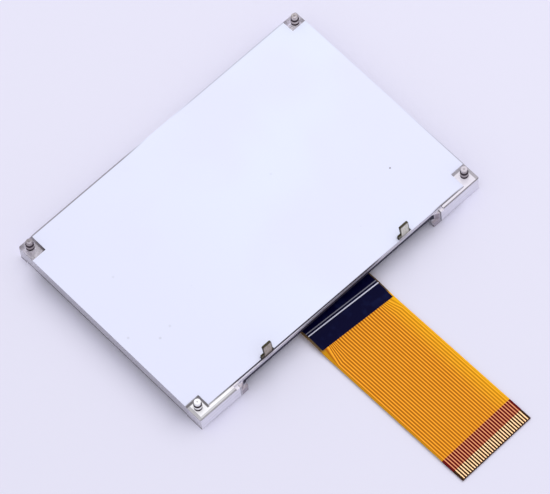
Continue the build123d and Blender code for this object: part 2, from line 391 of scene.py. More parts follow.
@dataclass(frozen=True)
class ReflectorFilm(Finish):
    """Smooth bluish-white reflective film with faint specks, one dark mark and a few scuffs."""

    half_length: float = 31.3
    half_width: float = 22.1
    tail_edge: float = -21.1
    tail_skew: float = 0.0108
    edge_shade_width: float = 0.3
    white: Colour = (0.752, 0.79, 0.96)
    shade: Colour = (0.742, 0.76, 0.94)
    speck: Colour = (0.55, 0.56, 0.66)
    # The colour of the dark mark, and of the painted shade along three edges.
    rim: Colour = (0.22, 0.20, 0.23)
    mark: Spot = (22.12, -10.46)
    mark_radius: float = 0.15
    scuffs: tuple[Spot, ...] = ((-25.9, -6.6), (-29.6, -2.9), (-23.3, -6.1), (-23.9, 7.0), (7.4, 2.6))
    scuff_radius: float = 0.2
    first_scuff: float = 0.6
    scuff_fade: float = 0.09

    def paint(self, name: str) -> bpy.types.Material:
        """Build the film's material, with painted shade that dims it toward the left.

        Args:
            name: The material's name.

        Returns:
            The material.
        """
        recipe = Recipe(name)
        x, _, _ = recipe.place()
        cloud = recipe.noise(0.05, 2.0)
        grain = recipe.noise(2.6, 2.0)
        specks = recipe.rise(grain, 0.76, 0.80)
        # Painted shade toward the left, laid over a random cloud of tone.
        shaded = recipe.highest(recipe.rise(cloud, 0.35, 0.65), recipe.rise(x, 8.0, -25.0))
        colour = recipe.mix(shaded, self.white, self.shade)
        colour = recipe.mix(specks * 0.5, colour, self.speck)
        colour = recipe.mix(recipe.spot(self.mark, self.mark_radius, 0.15) * 0.95, colour, self.rim)
        for number, scuff in enumerate(self.scuffs):
            strength = self.first_scuff - number * self.scuff_fade
            colour = recipe.mix(recipe.spot(scuff, self.scuff_radius, 0.3) * strength, colour, self.speck)
        return recipe.surface({
            "Base Color": recipe.mix(self.edge_shade_lines(recipe), colour, self.rim),
            "Roughness": recipe.between(grain, 0.45, 0.6),
            "Specular IOR Level": 0.25,
            "Normal": recipe.bump(recipe.noise(1.2), 0.004),
        })

    def edge_shade_lines(self, recipe: Recipe) -> Value:
        """A painted grey rim of shade along three edges.

        It is faint at the middle of the far edge, grows along the right edge toward the tail, and shows on
        the edge toward the tail only beside the right end block.

        Args:
            recipe: The material's recipe.

        Returns:
            How strong the rim is, from 0 to 1.
        """
        x, y, _ = recipe.place()
        far = recipe.rise(y, self.half_width - self.edge_shade_width, self.half_width - 0.16)
        far *= recipe.rise(x, -2.0, -9.0) * 0.9 + recipe.rise(x, 2.0, 9.0) * 0.4
        right = recipe.rise(x, self.half_length - 0.24, self.half_length - 0.1)
        right *= recipe.rise(y, 0.0, -self.half_width) * 0.6 + 0.05
        from_tail_edge = y + x * self.tail_skew - self.tail_edge
        by_block = recipe.rise(x, 21.0, 23.0) * recipe.rise(x, 29.0, 26.0)
        tail = recipe.rise(from_tail_edge, 0.17, 0.1) * by_block * 0.8
        return recipe.highest(tail, far, right)


@dataclass(frozen=True)
class ClearAcrylic(Finish):
    """Clear moulded acrylic, milky where light gathers in it and dark where its edges bend light away."""

    half_length: float = 31.3
    half_width: float = 22.1
    rear: float = 3.6
    block_end: float = 22.3
    foot_length: float = 1.8
    bar_y: float = -21.4
    bar_foot: float = 2.3
    film_edge: float = -21.1
    film_skew: float = 0.0108
    notch_x: float = 28.4
    notch_y: float = 18.45
    tail_end_y: float = -18.0
    pin_step: float = 4.85
    pin_x: float = 29.9
    pin_rows: tuple[float, float] = (20.68, -20.02)
    dim_corners: tuple[Spot, ...] = ((28.5, 21.9), (31.1, 19.9), (-30.9, 21.8))
    clear: Colour = (0.95, 0.945, 0.985)
    # From milk on, the milky shader's tones paint light and shade zone by zone; line and navy colour the
    # painted dark lines of shade.
    milk: Colour = (0.56, 0.51, 0.58)
    bright: Colour = (0.96, 0.95, 0.99)
    face: Colour = (0.86, 0.84, 0.97)
    bar: Colour = (0.60, 0.57, 0.70)
    bright_bar: Colour = (0.74, 0.71, 0.84)
    dim: Colour = (0.36, 0.36, 0.46)
    far_pin: Colour = (0.56, 0.49, 0.51)
    dim_pin: Colour = (0.36, 0.31, 0.34)
    right_rear: Colour = (0.78, 0.74, 0.83)
    wall: Colour = (0.58, 0.56, 0.64)
    foot: Colour = (0.36, 0.31, 0.37)
    foot_top: Colour = (0.46, 0.40, 0.47)
    wall_foot_shade: Colour = (0.12, 0.10, 0.12)
    line: Colour = (0.045, 0.034, 0.045)
    navy: Colour = (0.012, 0.010, 0.03)

    def paint(self, name: str) -> bpy.types.Material:
        """Build the acrylic's material."""
        return AcrylicWork(self, Recipe(name)).material()


class AcrylicWork:
    """The painting of clear acrylic, with masks that share one set of places and directions.

    A mask is 1 where its mark or zone is and 0 elsewhere, with soft edges. Lengths are in millimetres.
    """

    def __init__(self, own: ClearAcrylic, recipe: Recipe) -> None:
        """Set out what the masks share.

        Args:
            own: The sizes and tones of the acrylic.
            recipe: The material's recipe.
        """
        self.own = own
        self.recipe = recipe
        self.x, self.y, self.z = recipe.place()
        self.out_x, self.out_y, self.up = recipe.facing()
        self.across = abs(self.x)
        self.right = recipe.rise(self.x, -5.0, 5.0)
        self.tail_end = recipe.rise(self.y, own.tail_end_y, own.tail_end_y - 0.6)
        self.on_bar = recipe.rise(self.across, own.block_end + 0.1, own.block_end - 0.3)
        self.tail_face = recipe.rise(self.out_y, -0.4, -0.6)
        self.side_x = recipe.rise(abs(self.out_x), 0.6, 0.8)
        self.side_y = recipe.rise(abs(self.out_y), 0.6, 0.8)
        self.level = recipe.rise(self.up, 0.7, 0.9)
        self.on_pin = recipe.rise(self.z, own.rear + 0.02, own.rear + 0.1)

    def material(self) -> bpy.types.Material:
        """A clear shader and a milky one, mixed by where light gathers, under a matte shader that paints dark
        lines of shade.

        Returns:
            The material.
        """
        recipe = self.recipe
        flow = recipe.noise(0.5, 4.0, stretch=(1.0, 1.0, 4.0))
        foot = self.bar_foot_shade()
        # Painted shade: the dark lines where the edges bend light away.
        dark = recipe.highest(self.rear_lines() + self.pin_rings(), foot * 0.95, self.block_outline())
        gloss = {
            "IOR": 1.49,
            "Roughness": recipe.between(flow, 0.02, 0.12),
            "Normal": recipe.bump(flow, 0.02),
        }
        glass = {"Base Color": self.own.clear, "Transmission Weight": 1.0}
        painted_shade = {
            "Base Color": recipe.mix(foot, self.own.line, self.own.navy),
            "Roughness": 0.6,
            "Specular IOR Level": 0.1,
        }
        looks = (glass | gloss, {"Base Color": self.tone()} | gloss, painted_shade)
        shaders = [recipe.node("ShaderNodeBsdfPrincipled", inputs=look).outputs[0] for look in looks]
        body = recipe.node("ShaderNodeMixShader", inputs={0: self.milkiness(), 1: shaders[0], 2: shaders[1]})
        with_painted_shade = recipe.node("ShaderNodeMixShader", inputs={0: dark, 1: body.outputs[0], 2: shaders[2]})
        return recipe.finish(with_painted_shade)

    def rear_lines(self) -> Value:
        """The painted dark lines of shade on the rear face.

        Returns:
            The mask.
        """
        recipe, rear = self.recipe, self.own.rear
        on_rear = recipe.rise(self.up, 0.5, 0.7) * recipe.band(self.z, rear - 0.1, rear + 0.1, 0.05)
        return recipe.highest(self.notch_lines(), self.film_line() * 0.95, self.outer_lines()) * on_rear

    def film_line(self) -> Value:
        """The painted line of shade along the film's edge toward the tail, faint by the anode lead and on the
        end blocks.

        Returns:
            The mask.
        """
        recipe, own = self.recipe, self.own
        shift = recipe.rise(self.x, 21.0, 23.0) * 0.12
        line = recipe.band(self.y + self.x * own.film_skew - own.film_edge - shift, -0.24, 0.1, 0.1)
        line *= recipe.rise(self.across, own.notch_x, own.notch_x - 0.1)
        line *= 1.0 - recipe.band(self.x, 9.0, 21.5, 3.0) * 0.7
        on_block = recipe.rise(self.across, 22.0, 24.5) * 0.2 + recipe.rise(self.across, 25.0, 28.5) * 0.25
        return line * (1.0 - on_block)

    def outer_lines(self) -> Value:
        """The painted shade along the outer edge of each end block, and a second line further in on the left
        block.

        Returns:
            The mask.
        """
        recipe, edge = self.recipe, -self.own.half_width
        first = recipe.rise(self.y, edge + 0.25, edge + 0.17) * (self.right * 0.45 + 0.3)
        second = recipe.rise(self.y, edge + 0.6, edge + 0.5) * (1.0 - self.right) * 0.36
        return (first + second) * recipe.rise(self.across, self.own.block_end, self.own.block_end + 0.4)

    def notch_lines(self) -> Value:
        """The painted lines of shade along the sills of the four notches, and the painted dim spots in three
        corners.

        Returns:
            The mask.
        """
        recipe, own = self.recipe, self.own
        in_notch = recipe.rise(self.across, own.notch_x - 0.05, own.notch_x)
        in_notch *= recipe.rise(abs(self.y), own.notch_y - 0.05, own.notch_y)
        sill_y = recipe.band(self.y, -own.notch_y - 0.5, -own.notch_y, 0.2) * (0.85 - self.right * 0.25)
        sill_x = recipe.band(self.x, -own.notch_x - 0.42, -own.notch_x, 0.2) * 0.85
        sill_x *= recipe.rise(self.y, own.film_edge - 0.1, own.film_edge)
        sill_x *= recipe.between(recipe.rise(self.y, own.half_width, 18.5), 0.6, 1.0)
        strip = recipe.rise(self.across, own.half_length - 0.62, own.half_length - 0.5)
        strip *= self.tail_end * 0.42 + 0.08
        dim = [recipe.spot(corner, 0.55, 0.8) * 0.45 for corner in own.dim_corners]
        return recipe.highest(sill_x, sill_y, strip, *dim) * in_notch

    def bar_foot_shade(self) -> Value:
        """Painted shade: the dark line along the foot of the bar, standing for the shaded glass edge and gap
        under it.

        Returns:
            The mask.
        """
        recipe, own = self.recipe, self.own
        on_face = recipe.band(self.y, own.bar_y - 0.15, own.bar_y + 0.4, 0.1) * self.on_bar
        return self.tail_face * recipe.rise(self.z, own.bar_foot + 0.78, own.bar_foot + 0.58) * on_face

    def block_outline(self) -> Value:
        """Painted shade: the dark lines on the end blocks, where the low feet meet them, on the sills and the
        left rim.

        Returns:
            The mask.
        """
        recipe, own = self.recipe, self.own
        line = recipe.band(self.across, own.block_end + 0.05, own.block_end + 0.3, 0.1)
        line *= self.right * 0.4 + 0.45
        rim = recipe.band(self.z, own.rear - 0.2, own.rear + 0.2, 0.1) * 0.6
        rim *= recipe.rise(self.x, -own.block_end, -own.block_end - 0.4)
        sill = recipe.rise(self.z, 0.45, 0.3) * 0.22
        edges = recipe.highest(rim, sill) * self.tail_face
        return recipe.highest(line, edges) * recipe.rise(self.y, own.bar_y, own.bar_y - 0.2)

    def pin_rings(self) -> Value:
        """Painted shade: rings at each pin's foot and step, its dark flanks, and the shade of the dimple on
        its tip.

        Returns:
            The mask.
        """
        recipe, own = self.recipe, self.own
        flank = recipe.rise(abs(self.out_x - self.out_y), 1.15, 1.35)
        flank *= recipe.rise(self.z, own.rear + 0.1, own.rear + 0.2) * 0.5
        tips = [recipe.spot((x, y), 0.16, 0.2) for x in (-own.pin_x, own.pin_x) for y in own.pin_rows]
        dimple = recipe.highest(*tips) * recipe.rise(self.z, own.pin_step + 0.6, own.pin_step + 0.7) * 0.45
        foot = recipe.band(self.z, own.rear - 0.05, own.rear + 0.58, 0.2)
        foot *= recipe.rise(abs(self.up), 0.6, 0.3)
        step = recipe.band(self.z, own.pin_step - 0.12, own.pin_step + 0.34, 0.2)
        return recipe.highest(foot, step, flank, dimple)

    def milkiness(self) -> Value:
        """The share of the milky shader."""
        faces = self.level * self.tail_end * 0.5 + self.side_x * 0.4 + self.side_y * 0.5
        return 0.4 + faces + self.on_pin * (0.2 + self.tail_end * 0.25)

    def tone(self) -> bpy.types.NodeSocket:
        """The colour of the milky shader, zone by zone, with light and shade painted into the zones.

        Returns:
            The colour's socket.
        """
        recipe, own = self.recipe, self.own
        off_pin = 1.0 - self.on_pin
        on_bar = self.on_bar * self.tail_end
        on_foot = recipe.band(self.across, own.block_end - own.foot_length - 0.3, own.block_end, 0.15)
        on_foot *= recipe.rise(self.y, own.bar_y - 0.1, own.bar_y - 0.3)
        bar = self.bar_tone()
        rear = recipe.mix(self.level * self.tail_end, own.milk, self.block_tone())
        rear = recipe.mix(self.on_pin, rear, self.pin_tone())
        rear = recipe.mix(self.level * on_bar, rear, bar)
        rear = recipe.mix(self.level * on_foot, rear, own.foot_top)
        streak = recipe.noise(1.4, 3.0, stretch=(0.12, 1.0, 2.5))
        face = recipe.mix(on_foot, recipe.mix(on_bar, own.face, bar), own.foot)
        face = recipe.mix(recipe.rise(streak, 0.45, 0.62) * 0.2, face, own.dim)
        toned = recipe.mix(self.side_y * off_pin, rear, face)
        return recipe.mix(self.side_x * off_pin, toned, self.wall_tone())

    def block_tone(self) -> bpy.types.NodeSocket:
        """Painted light and shade: the end blocks' rear faces bright on the left, duller on the right and by
        the feet.

        Returns:
            The colour's socket.
        """
        recipe, own = self.recipe, self.own
        near_foot = recipe.rise(self.across, own.block_end + 2.0, own.block_end + 0.8)
        return recipe.mix(recipe.highest(self.right, near_foot), own.bright, own.right_rear)

    def pin_tone(self) -> bpy.types.NodeSocket:
        """The pins, each of which gathers the light of its own corner.

        Returns:
            The colour's socket.
        """
        recipe, own = self.recipe, self.own
        tip = recipe.rise(self.z, own.pin_step + 0.7, own.pin_step + 0.85)
        far = recipe.mix(self.right, own.dim_pin, own.far_pin)
        near = recipe.mix(self.right, own.bright, recipe.mix(tip, own.dim_pin, own.milk))
        return recipe.mix(self.tail_end, far, near)

    def bar_tone(self) -> bpy.types.NodeSocket:
        """Painted light and shade on the bar: bright at its right and dim over the tail.

        Returns:
            The colour's socket.
        """
        recipe, own = self.recipe, self.own
        bar = recipe.mix(recipe.rise(self.x, 8.0, 12.0), own.bar, own.bright_bar)
        return recipe.mix(recipe.band(self.x, -8.5, 8.0, 3.0), bar, own.dim)

    def wall_tone(self) -> bpy.types.NodeSocket:
        """The side walls, with a painted glint below their middle and painted shade at their foot.

        Returns:
            The colour's socket.
        """
        recipe, own = self.recipe, self.own
        glint = recipe.mix(recipe.band(self.z, 1.55, 1.8, 0.15), own.wall, own.bar)
        return recipe.mix(recipe.rise(self.z, 0.95, 0.65), glint, own.wall_foot_shade)


@dataclass(frozen=True)
class TinnedMetal(Finish):
    """Dull tinned sheet, darker on its sheared edges, along its rim and near both ends."""

    right: float
    top: float
    face: Colour
    second: Colour
    width: float = 1.85
    edge: Colour = (0.035, 0.028, 0.010)

    def paint(self, name: str) -> bpy.types.Material:
        """Build one lead's material.

        Args:
            name: The material's name.

        Returns:
            The material.
        """
        recipe = Recipe(name)
        x, _, z = recipe.place()
        _, across, _ = recipe.facing()
        streaks = recipe.noise(3.0, 3.0, stretch=(2.0, 2.0, 0.5))
        cut = recipe.rise(abs(across), 0.75, 0.45)
        rim = recipe.rise(z, self.top - 0.3, self.top - 0.15) * 0.8
        right = recipe.rise(x, self.right - 0.34, self.right - 0.22) * 0.85
        left = recipe.rise(x, self.right - self.width + 0.1, self.right - self.width - 0.05) * 0.75
        edges = recipe.highest(cut, rim, right, left)
        colour = recipe.mix(recipe.rise(streaks, 0.35, 0.7), self.face, self.second)
        return recipe.surface({
            "Base Color": recipe.mix(edges, colour, self.edge),
            "Metallic": 0.6,
            "Roughness": recipe.between(streaks, 0.35, 0.5),
            "Normal": recipe.bump(streaks, 0.01),
        })


@dataclass(frozen=True)
class AmberCoverlay(Finish):
    """Amber cover film over copper traces, which show lighter. The film is dark over the stiffener."""

    lanes: int
    dark_from: float
    trace: Colour = (1.0, 0.43, 0.026)
    lit_right_trace: Colour = (1.0, 0.47, 0.018)
    gap: Colour = (0.42, 0.108, 0.0)
    lit_gap: Colour = (0.60, 0.23, 0.0)
    left_margin: Colour = (0.56, 0.25, 0.003)
    lit_right_margin: Colour = (0.90, 0.44, 0.006)
    shaded_margin: Colour = (0.11, 0.07, 0.035)
    shaded_to: float = 5.6
    dark_trace: Colour = (1.0, 0.40, 0.19)
    dark_gap: Colour = (0.12, 0.0, 0.0)
    trace_half: float = 0.22
    dark_trace_half: float = 0.145

    def paint(self, name: str) -> bpy.types.Material:
        """Build the cover film's material from its own lane coordinates.

        Args:
            name: The material's name.

        Returns:
            The material.
        """
        recipe = Recipe(name)
        lane, along = recipe.lanes()
        middle = (self.lanes - 1) / 2
        away = abs((lane + 0.5) % 1.0 - 0.5)
        side = abs(lane - middle)
        bare = recipe.rise(side, middle + 0.35, middle + 0.6)
        stripe = recipe.rise(away, self.trace_half + 0.14, self.trace_half - 0.14) * (1.0 - bare)
        mottle = recipe.noise(0.4)
        # Painted light: the lanes toward the right, and the right margin, are brighter where light passes
        # through the film.
        toward_lit_side = recipe.rise(lane, middle + 8.0, middle + 15.0)
        warm = recipe.mix(toward_lit_side, self.trace, self.lit_right_trace)
        warm = recipe.mix(recipe.rise(mottle, 0.35, 0.7) * 0.06, warm, self.gap)
        gap = recipe.mix(toward_lit_side, self.gap, self.lit_gap)
        right_half = recipe.rise(lane, middle - 1.0, middle + 1.0)
        margin = recipe.mix(right_half, self.left_margin, self.lit_right_margin)
        # Painted shade: the margin beside the root strip is darkened, where the strip shades it.
        beside_strip = recipe.rise(along, self.shaded_to, self.shaded_to - 1.2)
        margin = recipe.mix(beside_strip, margin, self.shaded_margin)
        amber = recipe.mix(stripe, recipe.mix(bare, gap, margin), warm)
        dark_stripe = recipe.rise(away, self.dark_trace_half + 0.1, self.dark_trace_half - 0.1) * (1.0 - bare)
        dark = recipe.mix(dark_stripe, self.dark_gap, self.dark_trace)
        zone = recipe.rise(along, self.dark_from - 0.05, self.dark_from + 0.05)
        return recipe.surface({
            "Base Color": recipe.mix(zone, amber, dark),
            "Roughness": recipe.between(mottle, 0.3, 0.42),
            "Specular IOR Level": 0.05,
        })


@dataclass(frozen=True)
class AmberFilm(Finish):
    """The tail's base film: amber, with a painted glow along its cut edges, and dark between the contacts."""

    amber: Colour = (0.55, 0.22, 0.01)
    second: Colour = (0.47, 0.18, 0.01)
    edge_glow: Colour = (1.0, 0.60, 0.08)
    dark: Colour = (0.035, 0.014, 0.002)
    dark_from: float = -53.5

    def paint(self, name: str) -> bpy.types.Material:
        """Build the base film's material.

        Args:
            name: The material's name.

        Returns:
            The material.
        """
        recipe = Recipe(name)
        _, y, _ = recipe.place()
        _, _, up = recipe.facing()
        mottle = recipe.noise(0.6)
        zone = recipe.rise(y, self.dark_from, self.dark_from - 0.1)
        amber = recipe.mix(recipe.rise(mottle, 0.3, 0.7), self.amber, self.second)
        # Painted light: the cut edges glow as though the film carries light to them.
        amber = recipe.mix(recipe.rise(abs(up), 0.6, 0.3), amber, self.edge_glow)
        return recipe.surface({
            "Base Color": recipe.mix(zone, amber, self.dark),
            "Roughness": recipe.between(mottle, 0.35, 0.5),
            "Specular IOR Level": 0.05,
        })


@dataclass(frozen=True)
class PlatedCopper(Finish):
    """Copper traces, plated with gold where they are bare, and darker along their etched edges."""

    pivot: Spot
    turn_deg: float
    pitch: float
    gold: Colour = (1.0, 0.66, 0.36)
    second: Colour = (0.93, 0.58, 0.28)
    dark_edge: Colour = (0.075, 0.026, 0.0)
    copper: Colour = (0.85, 0.42, 0.22)
    plated_from: float = -55.0
    bright_half: float = 0.088

    def paint(self, name: str) -> bpy.types.Material:
        """Build the traces' material.

        Args:
            name: The material's name.

        Returns:
            The material.
        """
        recipe = Recipe(name)
        x, y, _ = recipe.place()
        turn = math.radians(self.turn_deg)
        across = (x - self.pivot[0]) * math.cos(turn) + (y - self.pivot[1]) * math.sin(turn)
        from_middle = abs((across / self.pitch) % 1.0 - 0.5) * self.pitch
        grain = recipe.noise(4.0)
        plated = recipe.rise(y, self.plated_from, self.plated_from - 0.2)
        edges = recipe.rise(from_middle, self.bright_half - 0.02, self.bright_half + 0.02)
        gold = recipe.mix(recipe.rise(grain, 0.3, 0.7), self.gold, self.second)
        return recipe.surface({
            "Base Color": recipe.mix(plated, self.copper, recipe.mix(edges, gold, self.dark_edge)),
            "Metallic": 0.5,
            "Roughness": recipe.between(grain, 0.3, 0.45),
        })


@dataclass(frozen=True)
class CreasedCover(Finish):
    """Navy-black cover film, with painted highlights along its creases."""

    crease: float
    second: float
    navy: Colour = (0.001, 0.001, 0.022)
    worn: Colour = (0.004, 0.006, 0.04)
    # The colour of the painted highlights along the creases.
    pale: Colour = (0.72, 0.72, 0.88)

    def paint(self, name: str) -> bpy.types.Material:
        """Build the strip's material from its own coordinates, with the distance from its end along it.

        Args:
            name: The material's name.

        Returns:
            The material.
        """
        recipe = Recipe(name)
        _, from_end = recipe.lanes()
        mottle = recipe.noise(0.5, 4.0)
        base = recipe.mix(recipe.rise(mottle, 0.45, 0.7), self.navy, self.worn)
        # Painted highlight: a pale line along the crease and a fainter one beside it.
        line = recipe.band(from_end, self.crease - 0.09, self.crease + 0.09, 0.1)
        faint = recipe.band(from_end, self.second - 0.08, self.second + 0.08, 0.14)
        colour = recipe.mix(line, recipe.mix(faint * 0.35, base, self.pale), self.pale)
        return recipe.surface({
            "Base Color": colour,
            "Roughness": recipe.between(mottle, 0.3, 0.45),
            "Specular IOR Level": 0.03,
        })


@dataclass(frozen=True)
class CellGlass(Finish):
    """Clear float glass whose ground edges are painted dark, as shade."""

    clear: Colour = (0.93, 0.96, 0.97)
    second: Colour = (0.90, 0.94, 0.95)
    edge: Colour = (0.02, 0.02, 0.07)

    def paint(self, name: str) -> bpy.types.Material:
        """Build the glass's material.

        Args:
            name: The material's name.

        Returns:
            The material.
        """
        recipe = Recipe(name)
        _, _, up = recipe.facing()
        smear = recipe.noise(0.3)
        # Painted shade on the ground edges.
        edges = recipe.rise(abs(up), 0.8, 0.4)
        clear = recipe.mix(smear, self.clear, self.second)
        return recipe.surface({
            "Base Color": recipe.mix(edges, clear, self.edge),
            "Roughness": recipe.between(edges, 0.02, 0.3),
            "IOR": 1.52,
            "Transmission Weight": 1.0,
        })


@dataclass(frozen=True)
class Plain(Finish):
    """A moulded, cured or cut finish with a fine grain and a second tone."""

    colour: Colour
    second: Colour
    rough: float = 0.5
    metallic: float = 0.0
    specular: float = 0.4
    grain_per_mm: float = 2.0
    depth: float = 0.006

    def paint(self, name: str) -> bpy.types.Material:
        """Build the material.

        Args:
            name: The material's name.

        Returns:
            The material.
        """
        recipe = Recipe(name)
        grain = recipe.noise(self.grain_per_mm)
        return recipe.surface({
            "Base Color": recipe.mix(recipe.rise(grain, 0.35, 0.65), self.colour, self.second),
            "Metallic": self.metallic,
            "Roughness": recipe.between(grain, self.rough - 0.06, self.rough + 0.06),
            "Specular IOR Level": self.specular,
            "Normal": recipe.bump(grain, self.depth),
        })


class Stock(Enum):
    """The plain finishes of the smaller and hidden pieces."""

    def paint(self, name: str) -> bpy.types.Material:
        """Build the material of one plain finish.

        Args:
            name: The material's name.

        Returns:
            The material.
        """
        return self.value.paint(name)

    WHITE_BOARD = Plain((0.62, 0.61, 0.66), (0.45, 0.44, 0.50), 0.45)
    WHITE_HOUSING = Plain((0.80, 0.80, 0.77), (0.72, 0.72, 0.69), 0.5)
    SOLDER = Plain((0.55, 0.55, 0.56), (0.42, 0.42, 0.43), 0.35, metallic=1.0)
    DIFFUSER = Plain((0.86, 0.86, 0.88), (0.82, 0.82, 0.84), 0.6)
    WHITE_TAPE = Plain((0.74, 0.74, 0.76), (0.66, 0.66, 0.69), 0.6)
    POLARIZER = Plain(
        (0.009, 0.012, 0.060), (0.010, 0.0135, 0.066), 0.12, specular=0.5, grain_per_mm=0.1, depth=0.001
    )
    LIQUID_CRYSTAL = Plain((0.02, 0.04, 0.2), (0.03, 0.05, 0.25), 0.3)
    SEAL_RESIN = Plain((0.62, 0.58, 0.42), (0.55, 0.51, 0.36), 0.4)
    BOND_FILM = Plain((0.30, 0.27, 0.18), (0.25, 0.22, 0.15), 0.5)
    SILICON = Plain((0.10, 0.105, 0.125), (0.14, 0.145, 0.16), 0.25, metallic=0.3)
    SEALANT = Plain((0.75, 0.76, 0.80), (0.68, 0.69, 0.74), 0.35, grain_per_mm=0.6, depth=0.03)
    STIFFENER = Plain((0.12, 0.02, 0.012), (0.09, 0.016, 0.01), 0.5, specular=0.2)


# Mesh helpers


def grid_faces(rows: int, columns: int, start: int = 0, turned: bool = False) -> np.ndarray:
    """The quads of a grid of points stored row by row.

    Args:
        rows: Points along the first parameter.
        columns: Points along the second parameter.
        start: The number of the first point.
        turned: True to turn each quad over.

    Returns:
        An array of quads, four point numbers each.
    """
    corner = start + np.arange(rows - 1)[:, None] * columns + np.arange(columns - 1)[None, :]
    quads = np.stack([corner, corner + 1, corner + columns + 1, corner + columns], axis=-1).reshape(-1, 4)
    return quads[:, ::-1] if turned else quads


def closed_sheet(name: str, top: np.ndarray, bottom: np.ndarray, lanes: np.ndarray) -> bpy.types.Object:
    """A thin closed piece between two grids of points, with walls round its four sides.

    Args:
        name: The piece's name.
        top: The upper points in millimetres, as rows by columns by 3. Rows follow each other toward -Y, and
            the points of a row toward +X.
        bottom: The lower points, in the same order.
        lanes: The two lane coordinates of each point, as rows by columns by 2.

    Returns:
        The piece, with its lane coordinates as a UV map.
    """
    rows, columns = top.shape[:2]
    count = rows * columns
    ring = np.concatenate([
        np.arange(columns),
        np.arange(1, rows) * columns + columns - 1,
        (rows - 1) * columns + np.arange(columns - 2, -1, -1),
        np.arange(rows - 2, 0, -1) * columns,
    ])
    following = np.roll(ring, -1)
    walls = np.stack([ring, following, following + count, ring + count], axis=-1)
    faces = np.concatenate([grid_faces(rows, columns, turned=True), grid_faces(rows, columns, count), walls])
    points = np.concatenate([top.reshape(-1, 3), bottom.reshape(-1, 3)]) * MM
    mesh = bpy.data.meshes.new(name)
    mesh.from_pydata(points.tolist(), [], faces.tolist())
    corners = np.zeros(len(mesh.loops), np.int32)
    mesh.loops.foreach_get("vertex_index", corners)
    pairs = np.concatenate([lanes.reshape(-1, 2)] * 2)[corners].astype(np.float32)
    mesh.uv_layers.new(name="lanes").data.foreach_set("uv", pairs.ravel())
    mesh.shade_smooth()
    mesh.set_sharp_from_angle(angle=SHARP_ANGLE)
    return placed(name, mesh)


def placed(name: str, mesh: bpy.types.Mesh) -> bpy.types.Object:
    """Put a finished mesh into the scene, at the origin and unturned.

    Args:
        name: The object's name.
        mesh: Its mesh, in metres in the frame of the module.

    Returns:
        The object.
    """
    made = bpy.data.objects.new(name, mesh)
    bpy.context.scene.collection.objects.link(made)
    return made


def merged_copy(node: str, name: str, inset: float = 0.0) -> bpy.types.Object:
    """A copy of a CAD node with its loose triangles joined and its flat faces made whole.

    Args:
        node: The CAD node's name.
        name: The copy's name.
        inset: How far its faces are drawn in, in millimetres.

    Returns:
        The copy.
    """
    work = bmesh.new()
    work.from_mesh(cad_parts[node].data)
    bmesh.ops.remove_doubles(work, verts=work.verts, dist=WELD_DISTANCE)
    bmesh.ops.dissolve_limit(work, angle_limit=FLAT_ANGLE, verts=work.verts, edges=work.edges)
    work.normal_update()
    reaches = [min(vertex.calc_shell_factor(), CORNER_LIMIT) * inset * MM for vertex in work.verts]
    shifts = [vertex.normal * reach for vertex, reach in zip(work.verts, reaches)]
    for vertex, shift in zip(work.verts, shifts):
        vertex.co -= shift
    mesh = bpy.data.meshes.new(name)
    work.to_mesh(mesh)
    work.free()
    mesh.shade_smooth()
    mesh.set_sharp_from_angle(angle=COPY_SHARP_ANGLE)
    return placed(name, mesh)


def soften_edges(piece: bpy.types.Object, width: float) -> None:
    """Round a piece's sharp edges a little.

    Args:
        piece: The piece.
        width: The width of the rounding in millimetres.
    """
    bevel = piece.modifiers.new("edges", "BEVEL")
    bevel.width = width * MM
    bevel.segments = 2
    bevel.limit_method = "ANGLE"
    bevel.angle_limit = SHARP_ANGLE
    weighted = piece.modifiers.new("normals", "WEIGHTED_NORMAL")
    weighted.keep_sharp = True


def dress(piece: bpy.types.Object, material: bpy.types.Material) -> None:
    """Give a piece one material.

    Args:
        piece: The piece or CAD node.
        material: Its material.
    """
    piece.data.materials.clear()
    piece.data.materials.append(material)
    log.info("%s wears %s", piece.name, material.name)


def stand_in(piece: bpy.types.Object, node: str) -> None:
    """Let a piece ride on the body and show in place of a CAD node.

    Args:
        piece: The new piece.
        node: The CAD node that it stands for.
    """
    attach(piece, BODY)
    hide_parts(node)
    log.info("%s stands for %s", piece.name, node)


# Sub-assemblies


